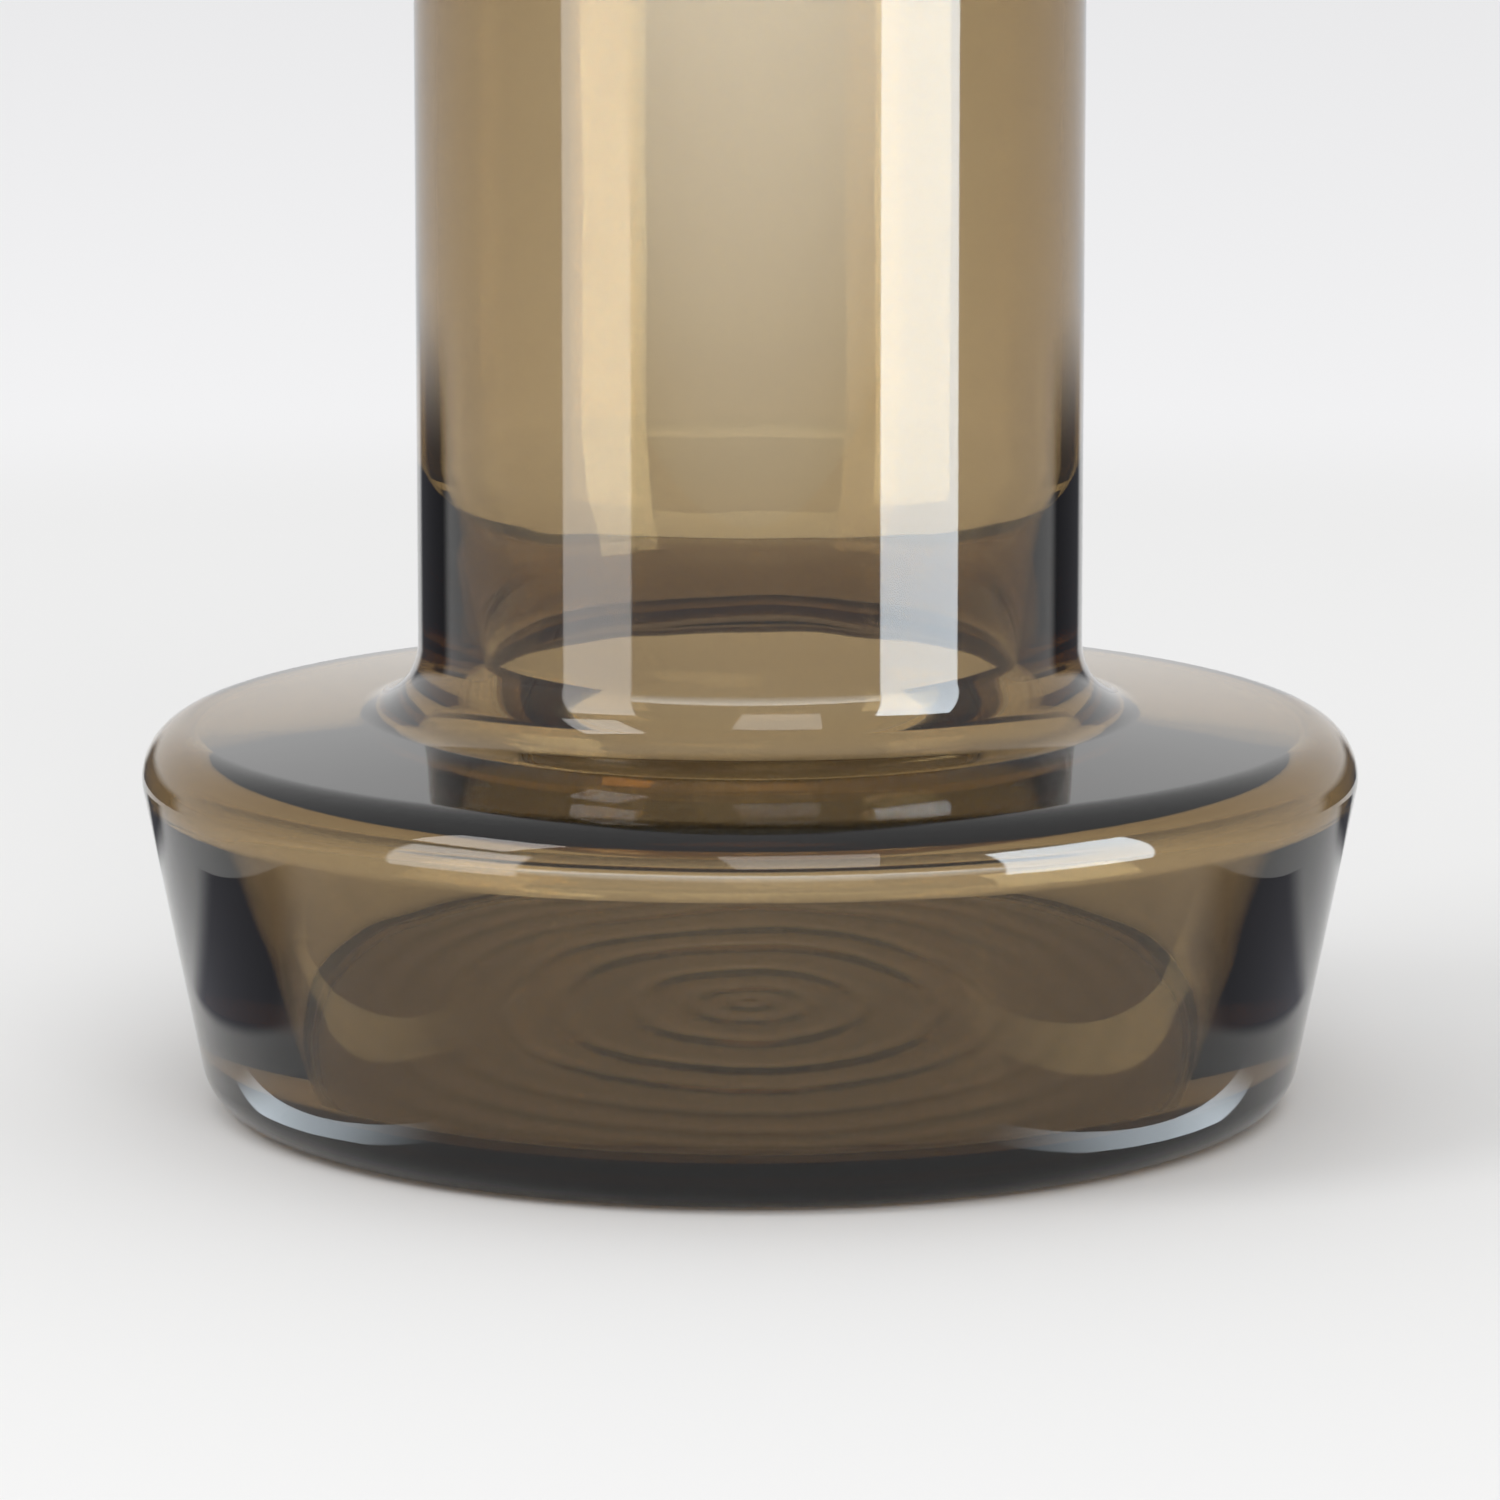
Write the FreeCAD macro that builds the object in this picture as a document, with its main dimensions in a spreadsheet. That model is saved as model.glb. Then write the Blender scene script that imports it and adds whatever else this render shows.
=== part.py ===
import FreeCAD, Part
import Sketcher
import os

# Glass vase: a tall cylindrical neck that opens into a low, wide base.
# Two layers of glass, one inside the other: a smoke-brown lining of even thickness and
# an almost colourless casing, which is thin on the neck and thick in the base.
# Origin: centre of the foot on the ground, +Z up, millimetres.

DIMENSIONS = {
    "total_height": 250.0,      # ground to rim
    "neck_radius": 42.0,        # outside of the neck
    "shoulder_radius": 78.3,    # outer corner of the base before rounding
    "shoulder_height": 48.0,
    "shoulder_rise": 2.9,       # climb of the shoulder from its corner to the neck
    "foot_radius": 68.7,        # bottom corner of the base before rounding
    "foot_round": 6.2,
    "shoulder_round": 6.6,
    "root_round": 8.4,          # between the neck and the shoulder, outside
    "rim_round": 1.1,
    "floor_radius": 60.5,       # bottom corner of the cavity before rounding
    "floor_height": 5.5,
    "cavity_radius": 74.3,      # widest corner of the cavity before rounding
    "cavity_height": 43.9,
    "ceiling_radius": 44.0,     # where the cavity's ceiling turns up into the throat
    "ceiling_height": 44.6,
    "throat_radius": 35.0,      # narrowest place inside, just above the shoulder
    "throat_height": 55.0,
    "bore_radius": 39.2,        # inside of the neck
    "bore_start": 80.0,         # height above which the bore is straight
    "floor_round": 4.0,
    "cavity_round": 3.5,
    "ceiling_round": 6.0,
    "throat_round": 9.0,
    "bore_round": 30.0,
    "lining": 1.5,              # thickness of the smoke-brown layer
}

TOLERANCE = 1e-4                # millimetres, for finding an edge by its place

OUTER = [
    ("axis", None, "0"),
    ("foot", "dims.foot_radius", "0"),
    ("shoulder", "dims.shoulder_radius", "dims.shoulder_height"),
    ("root", "dims.neck_radius", "dims.shoulder_height + dims.shoulder_rise"),
    ("rim", "dims.neck_radius", "dims.total_height"),
]

# Corners of the cavity, with the steps out and up that the same corner of the lining's
# back takes for each millimetre of lining, so that the lining keeps an even thickness.
CAVITY_CORNERS = [
    ("foot", "dims.floor_radius", "dims.floor_height", 0.70, -1.0),
    ("shoulder", "dims.cavity_radius", "dims.cavity_height", 1.41, 0.97),
    ("ceiling", "dims.ceiling_radius", "dims.ceiling_height", 0.47, 0.99),
    ("throat", "dims.throat_radius", "dims.throat_height", 1.06, 0.30),
    ("bore", "dims.bore_radius", "dims.bore_start", 1.0, -0.08),
    ("rim", "dims.bore_radius", "dims.total_height", 1.0, 0.0),
]

# Rounding of each cavity corner; the lining's back has a larger radius where the corner is
# hollow and a smaller one where the glass bulges into the cavity.
CAVITY_ROUNDS = {
    "foot": ("dims.floor_round", "+"),
    "shoulder": ("dims.cavity_round", "+"),
    "ceiling": ("dims.ceiling_round", "-"),
    "throat": ("dims.throat_round", "-"),
    "bore": ("dims.bore_round", "+"),
}


def inner_outline(depth):
    """Outline that follows the cavity at a depth in the glass, from the axis to the rim."""
    outline = [("floor_axis", None, f"dims.floor_height - {depth}")]
    for name, radius, height, out, up in CAVITY_CORNERS:
        outline.append((name, f"{radius} + ({out}) * {depth}", f"{height} + ({up}) * {depth}"))
    return outline


INTERFACE = inner_outline("dims.lining")
CAVITY = inner_outline("0")


def make_sheet(doc):
    """Spreadsheet with one driving dimension per row."""
    sheet = doc.addObject("Spreadsheet::Sheet", "dims")
    for row, (alias, size) in enumerate(DIMENSIONS.items(), start=1):
        sheet.set(f"A{row}", alias)
        sheet.set(f"B{row}", str(size))
        sheet.setAlias(f"B{row}", alias)
    doc.recompute()
    return sheet


def origin_plane(body, role):
    """Origin plane of the body, found by its role."""
    return next(item for item in body.Origin.OriginFeatures if item.Role == role)


def draw_layer(body, outside, inside):
    """Closed half-section of one layer: up the outside and back down the inside."""
    sketch = body.newObject("Sketcher::SketchObject", f"{body.Name}_section")
    sketch.AttachmentSupport = (origin_plane(body, "XZ_Plane"), [""])
    sketch.MapMode = "FlatFace"
    corners = [(f"outer_{name}", x, z) for name, x, z in outside]
    corners += [(f"inner_{name}", x, z) for name, x, z in reversed(inside)]

    points = []
    for name, x, z in corners:
        across = sketch.evalExpression(x) if x else 0.0
        points.append(FreeCAD.Vector(float(across), float(sketch.evalExpression(z)), 0))
    count = len(points)
    for index in range(count):
        sketch.addGeometry(Part.LineSegment(points[index], points[(index + 1) % count]), False)
    for index in range(count):
        sketch.addConstraint(Sketcher.Constraint("Coincident", index, 2, (index + 1) % count, 1))

    for index, (name, x, z) in enumerate(corners):
        place_corner(sketch, index, name, (x, points[index].x), (z, points[index].y))
    return sketch


def place_corner(sketch, index, name, across, up):
    """Hold the start of one line at its two distances from the origin."""
    x_formula, x_size = across
    z_formula, z_size = up
    if x_formula is None:
        sketch.addConstraint(Sketcher.Constraint("PointOnObject", index, 1, -2))
    else:
        sketch.addConstraint(Sketcher.Constraint("DistanceX", -1, 1, index, 1, x_size))
        sketch.renameConstraint(sketch.ConstraintCount - 1, f"{name}_x")
        sketch.setExpression(f"Constraints.{name}_x", x_formula)
    if abs(z_size) < TOLERANCE:
        sketch.addConstraint(Sketcher.Constraint("PointOnObject", index, 1, -1))
    else:
        sketch.addConstraint(Sketcher.Constraint("DistanceY", -1, 1, index, 1, z_size))
        sketch.renameConstraint(sketch.ConstraintCount - 1, f"{name}_z")
        sketch.setExpression(f"Constraints.{name}_z", z_formula)


def ring_edge(shape, radius, height):
    """Name of the circular edge with this radius at this height."""
    for number, edge in enumerate(shape.Edges, start=1):
        if not isinstance(edge.Curve, Part.Circle):
            continue
        same_radius = abs(edge.Curve.Radius - radius) < TOLERANCE
        same_height = abs(edge.Curve.Center.z - height) < TOLERANCE
        if same_radius and same_height:
            return f"Edge{number}"
    raise ValueError(f"no ring of radius {radius:.3f} at height {height:.3f}")


def round_ring(doc, body, corner, formula, name):
    """Round the ring that one corner of the section swept."""
    _, x, z = corner
    base = body.Tip
    radius = float(base.evalExpression(x))
    height = float(base.evalExpression(z))
    fillet = body.newObject("PartDesign::Fillet", f"{body.Name}_{name}")
    fillet.Base = (base, [ring_edge(base.Shape, radius, height)])
    fillet.setExpression("Radius", formula)
    body.Tip = fillet
    doc.recompute()


def make_layer(doc, label, outside, inside, rounds):
    """Revolve one layer of glass and round its corners."""
    body = doc.addObject("PartDesign::Body", label)
    body.Label = label
    sketch = draw_layer(body, outside, inside)
    doc.recompute()
    turned = body.newObject("PartDesign::Revolution", f"{label}_revolution")
    turned.Profile = sketch
    turned.ReferenceAxis = (sketch, ["V_Axis"])
    turned.Angle = 360.0
    body.Tip = turned
    doc.recompute()
    for name, corner, formula in rounds:
        round_ring(doc, body, corner, formula, name)
    body.Placement = FreeCAD.Placement()
    return body


def outer_rounds():
    """Roundings of the surface that the hand touches from outside."""
    formulas = {name: f"dims.{name}_round" for name in ("foot", "shoulder", "root", "rim")}
    return [(f"outer_{name}_round", (name, x, z), formulas[name])
            for name, x, z in OUTER if name in formulas]


def inner_rounds(side, outline, depth):
    """Roundings of an outline that follows the cavity at a depth in the glass."""
    rounds = []
    for name, x, z in outline:
        if name in CAVITY_ROUNDS:
            formula, sign = CAVITY_ROUNDS[name]
            rounds.append((f"{side}_{name}_round", (name, x, z), f"{formula} {sign} {depth}"))
    return rounds


def make_casing(doc):
    """Almost colourless layer, thick in the base."""
    rounds = outer_rounds() + inner_rounds("inner", INTERFACE, "dims.lining")
    return make_layer(doc, "clear_outer_casing", OUTER, INTERFACE, rounds)


def make_lining(doc):
    """Smoke-brown layer that faces the flowers and the water."""
    rounds = inner_rounds("outer", INTERFACE, "dims.lining") + inner_rounds("inner", CAVITY, "0")
    rounds.append(("inner_rim_round", CAVITY[-1], "dims.rim_round"))
    return make_layer(doc, "tinted_inner_layer", INTERFACE, CAVITY, rounds)


def check_document(doc):
    """Stop on any object that failed to build."""
    for item in doc.Objects:
        if "Invalid" in item.State or "Error" in item.State:
            raise RuntimeError(f"{item.Name}: {item.State}")


def export_layer(body):
    """Write one layer as a STEP file named after its label."""
    shape = body.Shape
    if shape.isNull() or not shape.isValid():
        raise RuntimeError(f"{body.Label}: bad shape")
    shape.exportStep(f"parts/{body.Label}.step")
    print(f"{body.Label}: {shape.Volume / 1000:.1f} cm3, {shape.BoundBox}")


def main():
    doc = FreeCAD.newDocument("glass_vase")
    make_sheet(doc)
    layers = [make_casing(doc), make_lining(doc)]
    doc.recompute()
    check_document(doc)
    os.makedirs("parts", exist_ok=True)
    for body in layers:
        export_layer(body)


main()
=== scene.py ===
import math

import bpy
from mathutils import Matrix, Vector


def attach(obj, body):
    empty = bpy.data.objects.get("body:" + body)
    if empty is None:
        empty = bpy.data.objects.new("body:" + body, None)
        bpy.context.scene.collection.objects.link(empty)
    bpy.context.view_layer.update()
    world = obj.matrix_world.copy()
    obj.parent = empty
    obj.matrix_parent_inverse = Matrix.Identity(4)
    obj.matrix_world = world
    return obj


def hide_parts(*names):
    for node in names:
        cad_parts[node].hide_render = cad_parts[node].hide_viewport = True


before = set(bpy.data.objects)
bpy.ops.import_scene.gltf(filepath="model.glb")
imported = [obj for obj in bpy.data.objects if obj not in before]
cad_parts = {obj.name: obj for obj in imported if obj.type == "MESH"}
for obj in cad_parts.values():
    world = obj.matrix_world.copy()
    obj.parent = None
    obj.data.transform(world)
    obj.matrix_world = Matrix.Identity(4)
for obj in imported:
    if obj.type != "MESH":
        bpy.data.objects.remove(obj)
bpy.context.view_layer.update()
print("frame loaded")

scene = bpy.context.scene
mm = 0.001


def addNode(tree, kind, **settings):
    node = tree.nodes.new(kind)
    for name, value in settings.items():
        setattr(node, name, value)
    return node


def feed(tree, socket, value):
    # a link when another node's output is given, otherwise a plain value
    if isinstance(value, bpy.types.NodeSocket):
        tree.links.new(value, socket)
    else:
        socket.default_value = value


def calc(tree, operation, first, second=None):
    node = addNode(tree, "ShaderNodeMath", operation=operation)
    feed(tree, node.inputs[0], first)
    if second is not None:
        feed(tree, node.inputs[1], second)
    return node.outputs[0]


# corners are radius, height and rounding in millimetres, from the axis up to the rim
glass = {
    "outside": [(0, 0.7, 0), (58.5, 0.7, 4), (60.5, 0, 0.6), (68.7, 0, 6.2), (78.3, 48, 6.6),
                (42, 50.9, 8.4), (42, 250, 1.1)],
    "cavity": [(0, 5.5, 0), (60.5, 5.5, 4), (74.3, 43.9, 3.5), (44, 44.6, 6), (35, 55, 9),
               (39.2, 80, 30), (39.2, 250, 1.1)],
    "lining": 1.5,           # thickness of the brown layer
    "gap": 0.012,            # air between the layers, too thin to see
    "baseStep": 1.7,         # longest step along the outline in the base
    "neckStep": 6.0,         # the same on the neck
    "floorStep": 0.6,        # the same on the floor of the cavity
    "neckStart": 60.0,       # height above which the neck's step is used
    "roundSteps": 12,        # steps in one rounding
    "segments": 200,         # steps around the axis
    "tolerance": 0.01,       # how near a point is to the floor to count as on it
}


def roundCorner(before, corner, after, radius, steps):
    # points of the arc that touches both sides of a corner
    here = Vector(corner)
    toBefore = (Vector(before) - here).normalized()
    toAfter = (Vector(after) - here).normalized()
    halfAngle = toBefore.angle(toAfter) / 2
    centre = here + (toBefore + toAfter).normalized() * radius / math.sin(halfAngle)
    start = here + toBefore * radius / math.tan(halfAngle)
    end = here + toAfter * radius / math.tan(halfAngle)
    points = []
    for index in range(steps + 1):
        chord = start.lerp(end, 0.5 - 0.5 * math.cos(math.pi * index / steps))
        points.append(centre + (chord - centre).normalized() * radius)
    return points


def roundedOutline(corners, steps):
    places = [(radius, height) for radius, height, rounding in corners]
    points = []
    for index, (radius, height, rounding) in enumerate(corners):
        if rounding == 0 or index == len(corners) - 1:
            points.append(Vector((radius, height)))
        else:
            points += roundCorner(places[index - 1], places[index], places[index + 1],
                                  rounding, steps)
    return points


def stepBetween(start, end, floorHeight):
    # rings in the floor need the finest step, the straight neck the longest
    if start.y > glass["neckStart"] and end.y > glass["neckStart"]:
        return glass["neckStep"]
    if max(abs(start.y - floorHeight), abs(end.y - floorHeight)) < glass["tolerance"]:
        return glass["floorStep"]
    return glass["baseStep"]


def fineOutline(points, floorHeight=math.inf):
    # steps are even along each stretch, and finer at the given height
    fine = [points[0]]
    for start, end in zip(points, points[1:]):
        step = stepBetween(start, end, floorHeight)
        count = max(1, math.ceil((end - start).length / step))
        fine += [start.lerp(end, index / count) for index in range(1, count + 1)]
    return fine


def movedOutline(points, distance):
    # the same outline further into the glass, away from the cavity
    moved = []
    for index, point in enumerate(points):
        before = points[max(index - 1, 0)]
        after = points[min(index + 1, len(points) - 1)]
        along = (after - before).normalized()
        moved.append(point + Vector((along.y, -along.x)) * distance)
    moved[0] = Vector((0, points[0].y - distance))
    moved[-1] = Vector((points[-1].x + distance, points[-1].y))
    return moved


def withRim(corners, wallEnd, steps):
    # the outline goes on over the rim to the end of the wall, so its last corner is rounded too
    closed = corners + [(wallEnd, corners[-1][1], 0)]
    return roundedOutline(closed, steps)


def makeOutlines():
    steps = glass["roundSteps"]
    lining, gap = glass["lining"], glass["gap"]
    seam = glass["cavity"][-1][0] + lining
    outside = fineOutline(withRim(glass["outside"], seam + gap, steps))
    cavity = fineOutline(withRim(glass["cavity"], seam, steps), glass["cavity"][0][1])
    plainCavity = fineOutline(roundedOutline(glass["cavity"], steps))
    back = movedOutline(plainCavity, lining)
    seat = movedOutline(plainCavity, lining + gap)
    return outside, seat, back, cavity


turning = {
    # rings in the floor of the base: radius and height in millimetres
    "rings": [(2.0, 0.16), (7.4, 0.16), (14.7, 0.22), (24.6, 0.24), (32.0, 0.16), (41.0, 0.10),
              (47.5, 0.08), (53.0, 0.07)],
    "ringStrength": 1.0,     # 0 leaves the floor flat
    "ringWidth": 1.5,
    "ringDrift": 0.07,       # how far a ring strays from a true circle
    "floorTop": 12.0,        # height up to which the rings are raised
    "waveHeight": 0.12,      # unevenness of the cavity's wall
    "waveSize": 3.2,         # waves around the axis
    "waveRise": 30.0,        # how fast the waves change up the wall
    "waveDetail": 1.0,
    "wallBottom": 10.0,      # heights between which the wall is uneven
    "wallTop": 240.0,
    "mergeDistance": 0.002,  # closes the seam and the ends on the axis
    "seed": 11,
}


def addTreeInput(tree, name, kind, value=None):
    socket = tree.interface.new_socket(name, in_out="INPUT", socket_type=kind)
    if value is not None:
        socket.default_value = value
    return socket.identifier


def sampleRow(tree, outline, kind, value, row):
    # a value of the outline's point with this number
    node = addNode(tree, "GeometryNodeSampleIndex", data_type=kind, domain="POINT")
    feed(tree, node.inputs["Geometry"], outline)
    feed(tree, node.inputs["Value"], value)
    feed(tree, node.inputs["Index"], row)
    return node.outputs[0]


def namedValue(tree, name):
    node = addNode(tree, "GeometryNodeInputNamedAttribute", data_type="FLOAT")
    node.inputs["Name"].default_value = name
    return node.outputs["Attribute"]


def ringField(tree, ins, radius, wobble):
    # low rounded ridges, one for each ring
    strayed = calc(tree, "ADD", radius, wobble)
    total = None
    for ringRadius, ringHeight in turning["rings"]:
        offset = calc(tree, "SUBTRACT", strayed, ringRadius * mm)
        share = calc(tree, "DIVIDE", offset, ins["Ring width"])
        slope = calc(tree, "MULTIPLY", calc(tree, "MULTIPLY", share, share), -1.0)
        ridge = calc(tree, "MULTIPLY", calc(tree, "EXPONENT", slope), ringHeight * mm)
        total = ridge if total is None else calc(tree, "ADD", total, ridge)
    return calc(tree, "MULTIPLY", total, ins["Ring strength"])


def waveField(tree, ins, cosine, sine, height):
    # smooth random unevenness, the same at both ends of the turn
    place = addNode(tree, "ShaderNodeCombineXYZ")
    tree.links.new(cosine, place.inputs[0])
    tree.links.new(sine, place.inputs[1])
    tree.links.new(calc(tree, "MULTIPLY", height, turning["waveRise"]), place.inputs[2])
    noise = addNode(tree, "ShaderNodeTexNoise", noise_dimensions="4D")
    tree.links.new(place.outputs[0], noise.inputs["Vector"])
    tree.links.new(ins["Seed"], noise.inputs["W"])
    tree.links.new(ins["Wave size"], noise.inputs["Scale"])
    noise.inputs["Detail"].default_value = turning["waveDetail"]
    return calc(tree, "SUBTRACT", noise.outputs[0], 0.5)


def makeTurningTree():
    tree = bpy.data.node_groups.new("turnedGlass", "GeometryNodeTree")
    ids = {}
    ids["Outline"] = addTreeInput(tree, "Outline", "NodeSocketGeometry")
    ids["Segments"] = addTreeInput(tree, "Segments", "NodeSocketInt", 64)
    for name in ("Ring strength", "Ring width", "Ring drift", "Wave height", "Wave size"):
        ids[name] = addTreeInput(tree, name, "NodeSocketFloat", 1.0)
    ids["Seed"] = addTreeInput(tree, "Seed", "NodeSocketInt", 0)
    ids["Material"] = addTreeInput(tree, "Material", "NodeSocketMaterial")
    tree.interface.new_socket("Geometry", in_out="OUTPUT", socket_type="NodeSocketGeometry")
    groupIn = addNode(tree, "NodeGroupInput")
    groupOut = addNode(tree, "NodeGroupOutput")
    ins = groupIn.outputs

    size = addNode(tree, "GeometryNodeAttributeDomainSize", component="MESH")
    tree.links.new(ins["Outline"], size.inputs[0])
    rows = size.outputs["Point Count"]
    grid = addNode(tree, "GeometryNodeMeshGrid")
    tree.links.new(calc(tree, "ADD", ins["Segments"], 1.0), grid.inputs["Vertices X"])
    tree.links.new(rows, grid.inputs["Vertices Y"])

    # the grid's points count up one column after the other, and a column is one outline
    index = addNode(tree, "GeometryNodeInputIndex").outputs[0]
    row = calc(tree, "MODULO", index, rows)
    column = calc(tree, "FLOOR", calc(tree, "DIVIDE", calc(tree, "ADD", index, 0.5), rows))
    around = calc(tree, "MODULO", column, ins["Segments"])
    angle = calc(tree, "MULTIPLY", calc(tree, "DIVIDE", around, ins["Segments"]), 2 * math.pi)
    cosine, sine = calc(tree, "COSINE", angle), calc(tree, "SINE", angle)

    outlinePlace = addNode(tree, "GeometryNodeInputPosition").outputs[0]
    sampled = sampleRow(tree, ins["Outline"], "FLOAT_VECTOR", outlinePlace, row)
    split = addNode(tree, "ShaderNodeSeparateXYZ")
    tree.links.new(sampled, split.inputs[0])
    radius, height = split.outputs[0], split.outputs[2]
    isWall = sampleRow(tree, ins["Outline"], "FLOAT", namedValue(tree, "wall"), row)
    isFloor = sampleRow(tree, ins["Outline"], "FLOAT", namedValue(tree, "floor"), row)

    wave = waveField(tree, ins, cosine, sine, height)
    push = calc(tree, "MULTIPLY", calc(tree, "MULTIPLY", wave, ins["Wave height"]), isWall)
    wobble = calc(tree, "MULTIPLY", wave, calc(tree, "MULTIPLY", radius, ins["Ring drift"]))
    lift = calc(tree, "MULTIPLY", ringField(tree, ins, radius, wobble), isFloor)
    radius = calc(tree, "ADD", radius, push)
    height = calc(tree, "ADD", height, lift)

    place = addNode(tree, "ShaderNodeCombineXYZ")
    tree.links.new(calc(tree, "MULTIPLY", radius, cosine), place.inputs[0])
    tree.links.new(calc(tree, "MULTIPLY", radius, sine), place.inputs[1])
    tree.links.new(height, place.inputs[2])
    move = addNode(tree, "GeometryNodeSetPosition")
    tree.links.new(grid.outputs["Mesh"], move.inputs["Geometry"])
    tree.links.new(place.outputs[0], move.inputs["Position"])

    # which faces are glass against air, kept for the material
    faceIndex = addNode(tree, "GeometryNodeInputIndex").outputs[0]
    faceRow = calc(tree, "MODULO", faceIndex, calc(tree, "SUBTRACT", rows, 1.0))
    free = sampleRow(tree, ins["Outline"], "FLOAT", namedValue(tree, "free"), faceRow)
    store = addNode(tree, "GeometryNodeStoreNamedAttribute", data_type="FLOAT", domain="FACE")
    store.inputs["Name"].default_value = "free"
    tree.links.new(move.outputs[0], store.inputs["Geometry"])
    tree.links.new(free, store.inputs["Value"])

    merge = addNode(tree, "GeometryNodeMergeByDistance")
    merge.inputs["Distance"].default_value = turning["mergeDistance"] * mm
    smooth = addNode(tree, "GeometryNodeSetShadeSmooth")
    real = addNode(tree, "GeometryNodeRealizeInstances")
    paint = addNode(tree, "GeometryNodeSetMaterial")
    chain = [store, merge, smooth, real, paint]
    for first, second in zip(chain, chain[1:]):
        tree.links.new(first.outputs[0], second.inputs[0])
    tree.links.new(ins["Material"], paint.inputs["Material"])
    tree.links.new(paint.outputs[0], groupOut.inputs[0])
    return tree, ids


def outlineMesh(name, points, marks):
    mesh = bpy.data.meshes.new(name)
    places = [(point.x * mm, 0.0, point.y * mm) for point in points]
    mesh.from_pydata(places, [(index, index + 1) for index in range(len(points) - 1)], [])
    for mark, values in marks.items():
        attribute = mesh.attributes.new(mark, "FLOAT", "POINT")
        attribute.data.foreach_set("value", [float(value) for value in values])
    return mesh


def turnOutline(name, points, marks, material, tree, ids):
    obj = bpy.data.objects.new(name, outlineMesh(name + "Outline", points, marks))
    scene.collection.objects.link(obj)
    modifier = obj.modifiers.new("turn", "NODES")
    modifier.node_group = tree
    modifier[ids["Segments"]] = glass["segments"]
    modifier[ids["Ring strength"]] = turning["ringStrength"]
    modifier[ids["Ring width"]] = turning["ringWidth"] * mm
    modifier[ids["Ring drift"]] = turning["ringDrift"]
    modifier[ids["Wave height"]] = turning["waveHeight"] * mm
    modifier[ids["Wave size"]] = turning["waveSize"]
    modifier[ids["Seed"]] = turning["seed"]
    modifier[ids["Material"]] = material
    graph = bpy.context.evaluated_depsgraph_get()
    made = bpy.data.meshes.new_from_object(obj.evaluated_get(graph), depsgraph=graph)
    made.name = name
    made.materials.clear()
    made.materials.append(material)
    made.polygons.foreach_set("material_index", [0] * len(made.polygons))
    obj.modifiers.clear()
    obj.data = made
    return obj


# each channel of the light is absorbed by (1 - colour) * density for each metre of glass
tints = {
    "clearGlass": {"colour": (0.52, 0.46, 0.42, 1.0), "density": 68.0, "waves": 0.9},
    "tintedGlass": {"colour": (0.722, 0.612, 0.362, 1.0), "density": 1000.0, "waves": 1.0},
}
bending = {"fused": 1.0, "free": 1.5}    # glass on glass lets light straight through


surfaceWaves = {
    "layers": [(45.0, 0.16), (9.0, 0.006)],    # size and depth in millimetres: slow, then fine
    "upright": 0.45,                           # under 1 draws the waves out along the axis
}


def makeWaveGroup():
    # normal of a blown surface, with one bump laid over the other
    group = bpy.data.node_groups.new("glassWaves", "ShaderNodeTree")
    group.interface.new_socket("Strength", in_out="INPUT", socket_type="NodeSocketFloat")
    group.interface.new_socket("Normal", in_out="OUTPUT", socket_type="NodeSocketVector")
    groupIn = addNode(group, "NodeGroupInput")
    groupOut = addNode(group, "NodeGroupOutput")
    place = addNode(group, "ShaderNodeTexCoord").outputs["Object"]
    drawn = addNode(group, "ShaderNodeVectorMath", operation="MULTIPLY")
    group.links.new(place, drawn.inputs[0])
    drawn.inputs[1].default_value = (1.0, 1.0, surfaceWaves["upright"])
    normal = None
    for size, depth in surfaceWaves["layers"]:
        noise = addNode(group, "ShaderNodeTexNoise")
        group.links.new(drawn.outputs[0], noise.inputs["Vector"])
        noise.inputs["Scale"].default_value = 1.0 / (size * mm)
        noise.inputs["Detail"].default_value = 0.0
        bump = addNode(group, "ShaderNodeBump")
        bump.inputs["Distance"].default_value = depth * mm
        group.links.new(groupIn.outputs[0], bump.inputs["Strength"])
        group.links.new(noise.outputs[0], bump.inputs["Height"])
        if normal is not None:
            group.links.new(normal, bump.inputs["Normal"])
        normal = bump.outputs[0]
    group.links.new(normal, groupOut.inputs[0])
    return group


def makeGlass(name, waveGroup):
    tint = tints[name]
    material = bpy.data.materials.new(name)
    material.use_nodes = True
    tree = material.node_tree
    shader = tree.nodes["Principled BSDF"]
    shader.inputs["Base Color"].default_value = (1, 1, 1, 1)
    shader.inputs["Roughness"].default_value = 0.0
    shader.inputs["Metallic"].default_value = 0.0
    shader.inputs["Transmission Weight"].default_value = 1.0
    # light bends at the free faces, which are glass against air
    free = addNode(tree, "ShaderNodeAttribute", attribute_name="free")
    bend = addNode(tree, "ShaderNodeMapRange")
    bend.inputs["To Min"].default_value = bending["fused"]
    bend.inputs["To Max"].default_value = bending["free"]
    tree.links.new(free.outputs["Fac"], bend.inputs["Value"])
    tree.links.new(bend.outputs[0], shader.inputs["IOR"])
    waves = addNode(tree, "ShaderNodeGroup", node_tree=waveGroup)
    waves.inputs[0].default_value = tint["waves"]
    tree.links.new(waves.outputs[0], shader.inputs["Normal"])
    inside = addNode(tree, "ShaderNodeVolumeAbsorption")
    inside.inputs["Color"].default_value = tint["colour"]
    inside.inputs["Density"].default_value = tint["density"]
    tree.links.new(inside.outputs[0], tree.nodes["Material Output"].inputs["Volume"])
    return material


def markOutline(parts):
    # each part of the closed outline says if it is free and if it faces the cavity
    points, marks = [], {"free": [], "wall": [], "floor": []}
    for part, free, facesCavity in parts:
        points += part
        for point in part:
            isWall = turning["wallBottom"] < point.y < turning["wallTop"]
            isFloor = point.y < turning["floorTop"]
            marks["free"].append(free)
            marks["wall"].append(facesCavity and isWall)
            marks["floor"].append(facesCavity and isFloor)
    return points, marks


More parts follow.
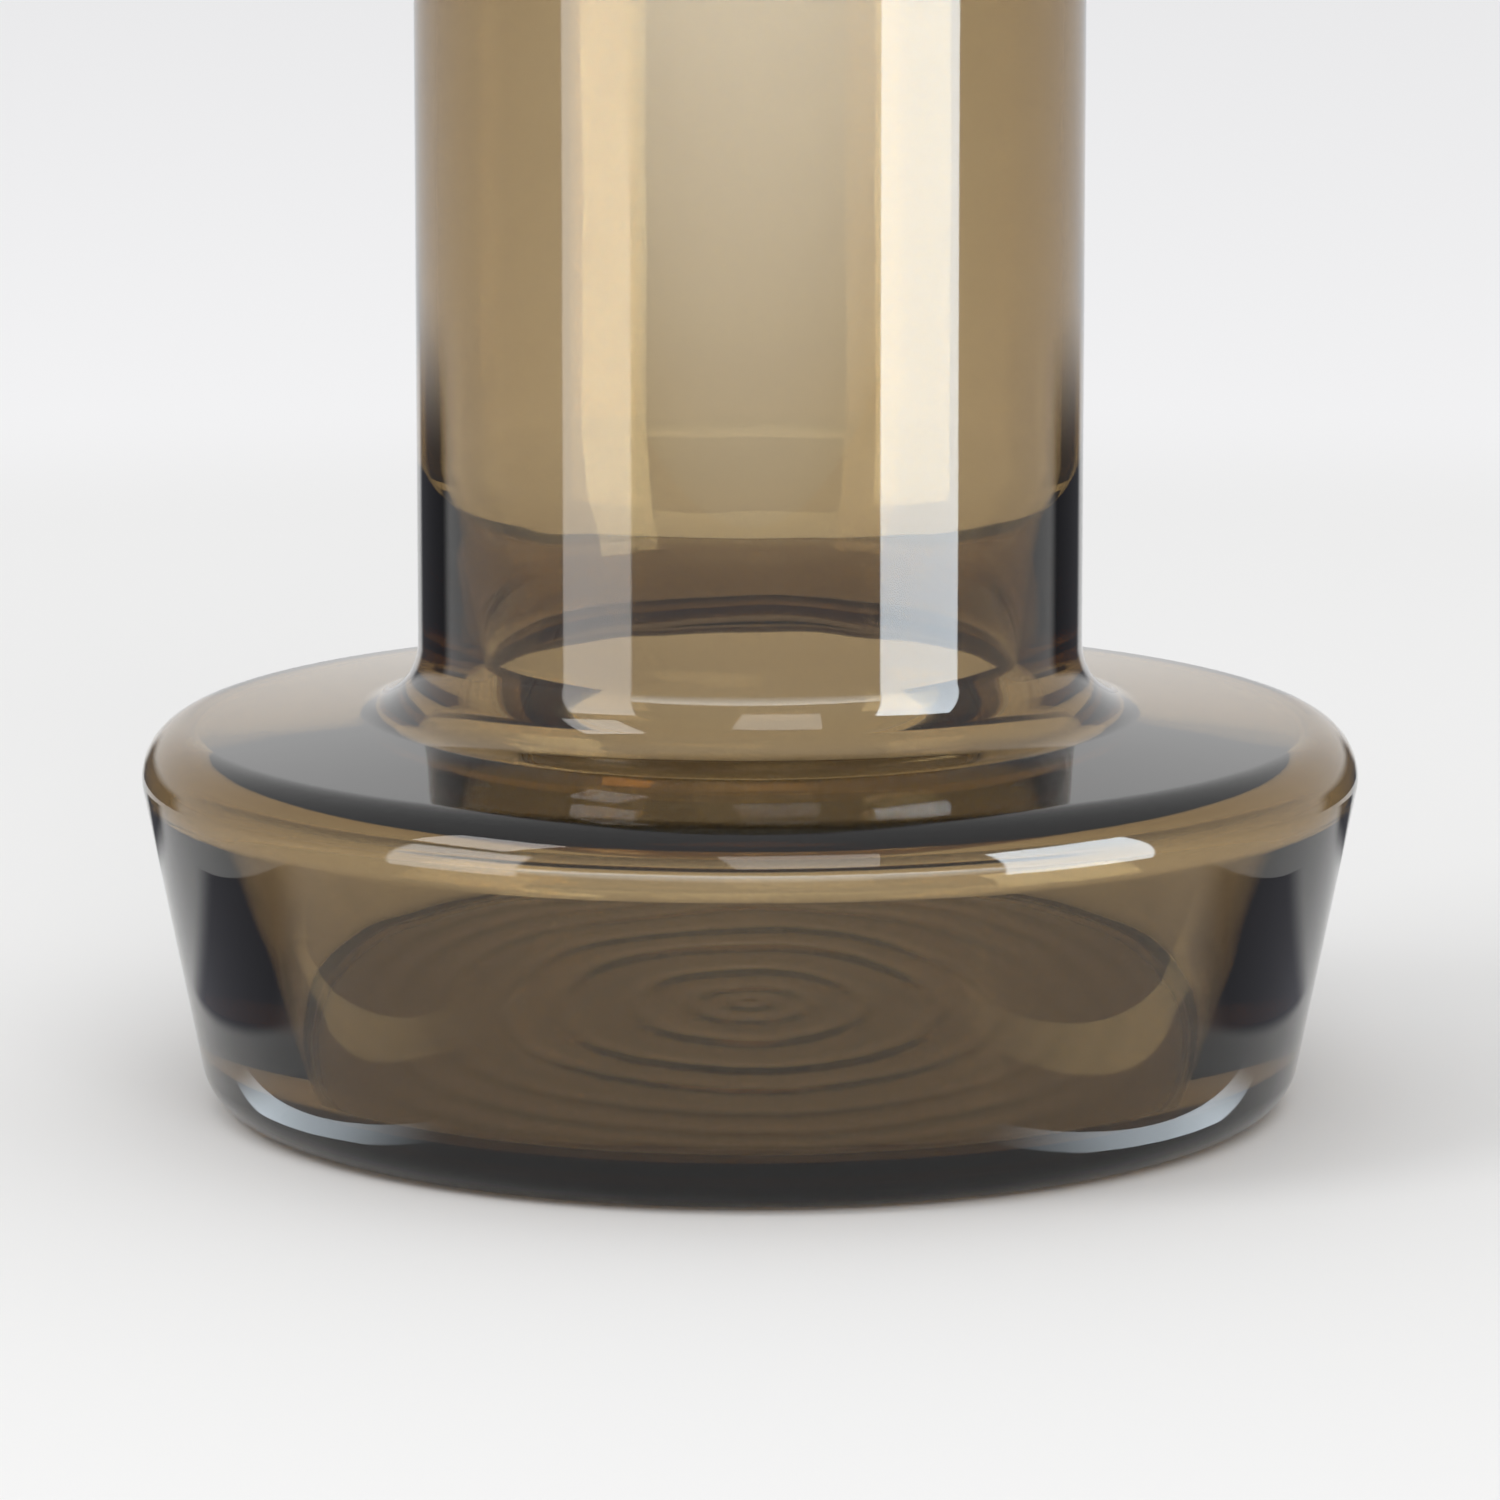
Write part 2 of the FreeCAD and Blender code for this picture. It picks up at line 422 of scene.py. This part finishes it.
def makeLayers():
    outside, seat, back, cavity = makeOutlines()
    waveGroup = makeWaveGroup()
    tree, ids = makeTurningTree()
    clear = makeGlass("clearGlass", waveGroup)
    tinted = makeGlass("tintedGlass", waveGroup)
    casingLine = markOutline([(outside[:-1], True, False), (seat[::-1], False, False)])
    liningLine = markOutline([(back, False, False), (cavity[::-1], True, True)])
    casing = turnOutline("clearCasing", *casingLine, clear, tree, ids)
    lining = turnOutline("tintedLining", *liningLine, tinted, tree, ids)
    return casing, lining


casing, lining = makeLayers()
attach(casing, "root")
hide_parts("clear_outer_casing")
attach(lining, "root")
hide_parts("tinted_inner_layer")
print("layers of glass made")


table = {
    "colour": (0.85, 0.85, 0.85, 1.0),
    # painted light: the table is painted lighter further from the vase, turning from its colour
    # near the vase into the far one
    "farPaintedLight": (0.90, 0.90, 0.91, 1.0),
    "edge": (0.50, 0.66),    # where the table's tone turns into the far one, metres
    "radius": 6.0,
    "segments": 96,
    "drop": 0.0001,          # keeps the table just clear of the foot
    "roughness": 0.45,
}


def makeTable():
    bpy.ops.mesh.primitive_circle_add(vertices=table["segments"], radius=table["radius"],
                                      fill_type="TRIFAN")
    obj = bpy.context.object
    obj.name = "table"
    obj.location.z = -table["drop"]
    material = bpy.data.materials.new("paleTable")
    material.use_nodes = True
    tree = material.node_tree
    shader = tree.nodes["Principled BSDF"]
    shader.inputs["Roughness"].default_value = table["roughness"]
    shader.inputs["Specular IOR Level"].default_value = 0.0    # no mirror image of the cards
    place = addNode(tree, "ShaderNodeTexCoord").outputs["Object"]
    distance = addNode(tree, "ShaderNodeVectorMath", operation="LENGTH")
    tree.links.new(place, distance.inputs[0])
    # painted light: lighter further from the vase
    spread = addNode(tree, "ShaderNodeMapRange", interpolation_type="SMOOTHSTEP")
    spread.inputs["From Min"].default_value = table["edge"][0]
    spread.inputs["From Max"].default_value = table["edge"][1]
    tree.links.new(distance.outputs["Value"], spread.inputs["Value"])
    blend = addNode(tree, "ShaderNodeMix", data_type="RGBA")
    blend.inputs["A"].default_value = table["colour"]
    blend.inputs["B"].default_value = table["farPaintedLight"]
    tree.links.new(spread.outputs[0], blend.inputs["Factor"])
    tree.links.new(blend.outputs["Result"], shader.inputs["Base Color"])
    obj.data.materials.append(material)
    return obj


tableTop = makeTable()
print("table made")


coolWhite, white, black = (0.90, 1.0, 1.08), (1.0, 1.0, 1.0), (0.04, 0.04, 0.045)

studio = {
    # elevation in degrees and brightness of the white surroundings
    "surround": [(-90, 0.93), (-10, 0.92), (8, 0.92), (35, 0.80), (90, 0.95)],
    # name, place, size, power
    "lamps": [
        ("keyLamp", (-1.3, -0.7, 1.5), 0.7, 7.5),
        ("fillLamp", (0.3, -1.6, 1.2), 0.9, 7.5),
    ],
    # cards that show only in the glass, painted reflections that glow though they are no lamps:
    # turn is the angle from the front, height is that of the card's middle, tilt is 90 when it
    # stands and 0 when it lies, glow is the brightness at the bottom and at the top, fade is
    # the share of the width and of the height that fades out
    "cards": {
        "rightStripe": {"turn": 57, "distance": 0.33, "height": 0.11, "tilt": 90,
                        "size": (0.176, 0.22), "colour": coolWhite, "glow": (11, 14),
                        "fade": (0.03, 0.02)},
        "leftStripe": {"turn": -51, "distance": 0.35, "height": 0.11, "tilt": 90,
                       "size": (0.160, 0.22), "colour": white, "glow": (5.0, 6.2),
                       "fade": (0.05, 0.02)},
        "frontGlow": {"turn": 0, "distance": 0.567, "height": 0.065, "tilt": 90,
                      "size": (1.90, 0.13), "colour": coolWhite, "glow": (1.25, 6.6),
                      "fade": (0.1, 0.02)},
        # small cards on the table beside the foot, whose painted reflection makes the thin
        # bright lines along it
        "leftFootGlow": {"turn": -58, "distance": 0.0745, "height": 0.0015, "tilt": 0,
                         "size": (0.06, 0.005), "colour": coolWhite, "glow": (4, 4),
                         "fade": (0.4, 0.1)},
        "rightFootGlow": {"turn": 52, "distance": 0.0745, "height": 0.0015, "tilt": 0,
                          "size": (0.07, 0.005), "colour": coolWhite, "glow": (5, 5),
                          "fade": (0.4, 0.1)},
    },
    # black cards, one on each side, seen only in the glass: painted dark reflections which give
    # the glass its dark edges
    "darkReflectionCards": {
        "Flag": {"turn": 137, "distance": 0.30, "height": 0.035, "tilt": 90,
                 "size": (0.20, 0.07), "colour": black, "glow": (2.4, 2.4), "fade": (0.2, 0.4)},
        "Mat": {"turn": 136, "distance": 0.195, "height": 0.001, "tilt": 0,
                "size": (0.07, 0.08), "colour": black, "glow": (2.4, 2.4), "fade": (0.3, 0.3)},
        "NearMat": {"turn": 90, "distance": 0.114, "height": 0.001, "tilt": 0,
                    "size": (0.09, 0.05), "colour": black, "glow": (6, 6), "fade": (0.25, 0.1)},
    },
}


def makeSurround():
    world = bpy.data.worlds.new("studioWhite")
    scene.world = world
    world.use_nodes = True
    tree = world.node_tree
    place = addNode(tree, "ShaderNodeTexCoord").outputs["Generated"]
    split = addNode(tree, "ShaderNodeSeparateXYZ")
    tree.links.new(place, split.inputs[0])
    lift = calc(tree, "ARCSINE", split.outputs[2])
    share = calc(tree, "ADD", calc(tree, "DIVIDE", lift, math.pi), 0.5)
    ramp = addNode(tree, "ShaderNodeValToRGB")
    tree.links.new(share, ramp.inputs[0])
    stops = ramp.color_ramp.elements
    while len(stops) < len(studio["surround"]):
        stops.new(0.5)
    for stop, (elevation, brightness) in zip(stops, studio["surround"]):
        stop.position = elevation / 180 + 0.5
        stop.color = (brightness, brightness, brightness, 1)
    tree.links.new(ramp.outputs[0], tree.nodes["Background"].inputs["Color"])


def fadeOut(tree, distance, share):
    # 0 at the card's edge, 1 beyond the given share of its size
    spread = addNode(tree, "ShaderNodeMapRange", interpolation_type="SMOOTHSTEP")
    spread.inputs["From Max"].default_value = share
    tree.links.new(distance, spread.inputs["Value"])
    return spread.outputs[0]


def makeCardMaterial(name, card):
    material = bpy.data.materials.new(name)
    material.use_nodes = True
    tree = material.node_tree
    tree.nodes.clear()
    place = addNode(tree, "ShaderNodeTexCoord").outputs["Object"]
    split = addNode(tree, "ShaderNodeSeparateXYZ")
    tree.links.new(place, split.inputs[0])
    spread = addNode(tree, "ShaderNodeMapRange")
    spread.inputs["From Min"].default_value = -0.5
    spread.inputs["From Max"].default_value = 0.5
    spread.inputs["To Min"].default_value = card["glow"][0]
    spread.inputs["To Max"].default_value = card["glow"][1]
    tree.links.new(split.outputs[1], spread.inputs["Value"])
    light = addNode(tree, "ShaderNodeEmission")
    light.inputs["Color"].default_value = (*card["colour"], 1)
    tree.links.new(spread.outputs[0], light.inputs["Strength"])
    side = calc(tree, "SUBTRACT", 0.5, calc(tree, "ABSOLUTE", split.outputs[0]))
    top = calc(tree, "SUBTRACT", 0.5, split.outputs[1])
    shown = calc(tree, "MULTIPLY", fadeOut(tree, side, card["fade"][0]),
                 fadeOut(tree, top, card["fade"][1]))
    # a card shows by reflection alone, never straight through the glass
    bounces = addNode(tree, "ShaderNodeLightPath").outputs["Glossy Depth"]
    shown = calc(tree, "MULTIPLY", shown, calc(tree, "GREATER_THAN", bounces, 0.5))
    blend = addNode(tree, "ShaderNodeMixShader")
    tree.links.new(shown, blend.inputs[0])
    tree.links.new(addNode(tree, "ShaderNodeBsdfTransparent").outputs[0], blend.inputs[1])
    tree.links.new(light.outputs[0], blend.inputs[2])
    out = addNode(tree, "ShaderNodeOutputMaterial")
    tree.links.new(blend.outputs[0], out.inputs["Surface"])
    return material


def makeCard(name, card):
    bpy.ops.mesh.primitive_plane_add(size=1)
    obj = bpy.context.object
    obj.name = name
    obj.scale = (*card["size"], 1)
    turn = math.radians(card["turn"])
    obj.location = (card["distance"] * math.sin(turn), -card["distance"] * math.cos(turn),
                    card["height"])
    obj.rotation_euler = (math.radians(card["tilt"]), 0, turn)
    obj.data.materials.append(makeCardMaterial(name, card))
    obj.visible_camera = False
    obj.visible_diffuse = False
    obj.visible_shadow = False


def makeLamp(name, place, size, power):
    lamp = bpy.data.lights.new(name, "AREA")
    lamp.size = size
    lamp.energy = power
    obj = bpy.data.objects.new(name, lamp)
    scene.collection.objects.link(obj)
    obj.location = place
    obj.rotation_euler = (-obj.location).to_track_quat("-Z", "Y").to_euler()
    obj.visible_camera = False


makeSurround()
for cardName, card in studio["cards"].items():
    makeCard(cardName, card)
for cardName, card in studio["darkReflectionCards"].items():
    makeCard("left" + cardName, {**card, "turn": -card["turn"]})
    makeCard("right" + cardName, card)
for lamp in studio["lamps"]:
    makeLamp(*lamp)
print("studio lit")


view = {
    "lens": 204.0,
    "sensor": 36.0,
    "distance": 1.078,
    "lookHeight": 0.0445,
    "down": 10.1,            # degrees below the horizon
    "farEnd": 100.0,
    "bounces": 32,           # light crosses many faces in the two layers
    "mirrorBounces": 16,
}


def makeCamera():
    lens = bpy.data.cameras.new("camera")
    lens.sensor_width = view["sensor"]
    lens.lens = view["lens"]
    lens.clip_end = view["farEnd"]
    obj = bpy.data.objects.new("camera", lens)
    scene.collection.objects.link(obj)
    down = math.radians(view["down"])
    obj.location = (0, -view["distance"] * math.cos(down),
                    view["lookHeight"] + view["distance"] * math.sin(down))
    obj.rotation_euler = (math.pi / 2 - down, 0, 0)
    scene.camera = obj


makeCamera()
scene.view_settings.view_transform = "Standard"
scene.cycles.max_bounces = view["bounces"]
scene.cycles.transmission_bounces = view["bounces"]
scene.cycles.glossy_bounces = view["mirrorBounces"]
print("camera placed")
